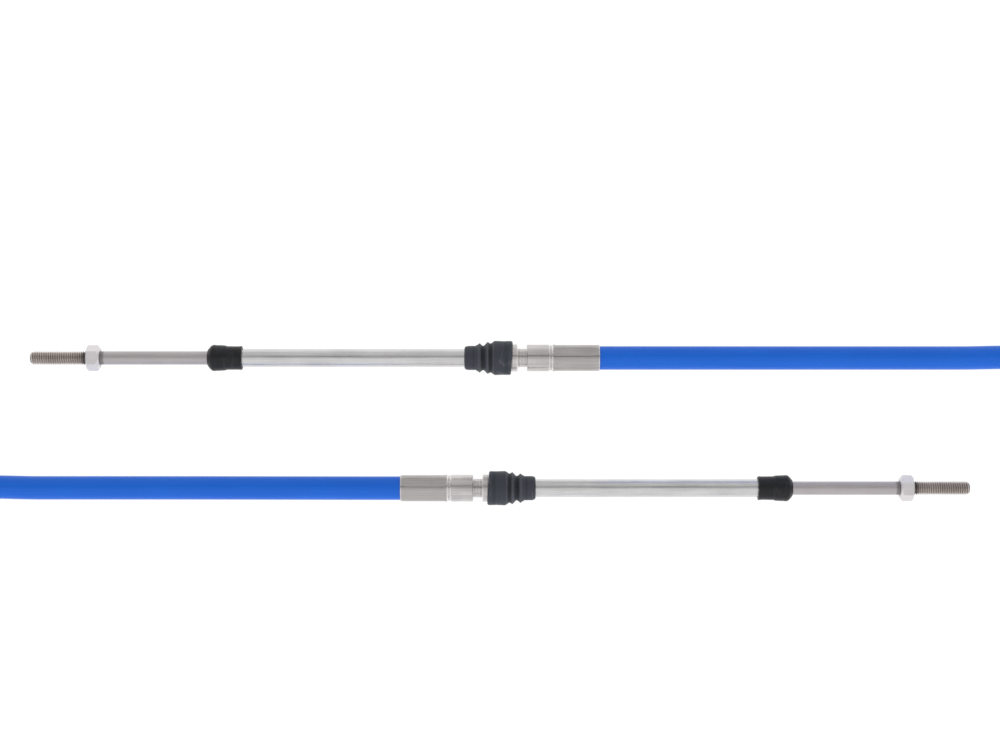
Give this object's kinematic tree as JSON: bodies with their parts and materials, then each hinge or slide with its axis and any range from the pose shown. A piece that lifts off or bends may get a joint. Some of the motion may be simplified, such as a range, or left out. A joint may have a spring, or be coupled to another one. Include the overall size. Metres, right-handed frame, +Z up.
{
  "type": "push-pull control cable",
  "caption": "Push-pull control cable: steel-cored plastic conduit with a crimped hub, swivel sleeve, rubber boot, threaded rod and lock nut at each end.",
  "frame": {"origin": "on the floor, midway between the two end fittings, which lie side by side; fitting A's swivel centre is at y = +23.3 mm and fitting B's at y = -23.3 mm, both at x = 0 and 6.1 mm up", "axes": "+X along both fittings, out through fitting B's rod; +Z up from the floor"},
  "size_m": [0.6254, 0.2609, 0.0122],
  "materials": {
    "jacket": "smooth extruded blue plastic with a soft sheen",
    "core_wire": "drawn steel wire",
    "hub_metal": "turned, then crimped to six flats with fine lengthwise lines",
    "bright_steel": "drawn stainless tube, bright with faint lengthwise lines",
    "rod_steel": "ground bar, duller on the rolled thread",
    "nut_steel": "bright machined",
    "black_rubber": "moulded, satin black",
    "slate_rubber": "moulded, matt slate grey with pale scuffs"
  },
  "bodies": {
    "root": {"conduit": "jacket", "inner_core": "core_wire", "hub_a": "hub_metal", "hub_b": "hub_metal", "bellows_a": "slate_rubber", "bellows_b": "slate_rubber"},
    "ball_a": {"swivel_ball_a": "bright_steel"},
    "support_a": {"sleeve_a": "bright_steel", "wiper_seal_a": "black_rubber"},
    "rod_a": {"push_rod_a": "rod_steel"},
    "nut_a": {"lock_nut_a": "nut_steel"},
    "ball_b": {"swivel_ball_b": "bright_steel"},
    "support_b": {"sleeve_b": "bright_steel", "wiper_seal_b": "black_rubber"},
    "rod_b": {"push_rod_b": "rod_steel"},
    "nut_b": {"lock_nut_b": "nut_steel"}
  },
  "joints": [
    {"name": "swivel_side_a", "type": "hinge", "parent": "root", "child": "ball_a", "pos_m": [0, 0.0233, 0.0061], "axis": [0, 0, 1], "range_deg": [-8, 8], "deforming": ["bellows_a"]},
    {"name": "swivel_lift_a", "type": "hinge", "parent": "ball_a", "child": "support_a", "pos_m": [0, 0.0233, 0.0061], "axis": [0, 1, 0], "range_deg": [-8, 8]},
    {"name": "rod_slide_a", "type": "slide", "parent": "support_a", "child": "rod_a", "axis": [-1, 0, 0], "range_m": [-0.0381, 0.0381]},
    {"name": "nut_turn_a", "type": "hinge", "parent": "rod_a", "child": "nut_a", "pos_m": [-0.1453, 0.0233, 0.0061], "axis": [1, 0, 0], "continuous": true},
    {"name": "swivel_side_b", "type": "hinge", "parent": "root", "child": "ball_b", "pos_m": [0, -0.0233, 0.0061], "axis": [0, 0, 1], "range_deg": [-8, 8], "deforming": ["bellows_b"]},
    {"name": "swivel_lift_b", "type": "hinge", "parent": "ball_b", "child": "support_b", "pos_m": [0, -0.0233, 0.0061], "axis": [0, -1, 0], "range_deg": [-8, 8]},
    {"name": "rod_slide_b", "type": "slide", "parent": "support_b", "child": "rod_b", "axis": [1, 0, 0], "range_m": [-0.0381, 0.0381]},
    {"name": "nut_turn_b", "type": "hinge", "parent": "rod_b", "child": "nut_b", "pos_m": [0.1453, -0.0233, 0.0061], "axis": [1, 0, 0], "continuous": true}
  ],
  "couplings": [
    {"joint": "rod_slide_b", "follows": "rod_slide_a", "ratio": -1}
  ]
}
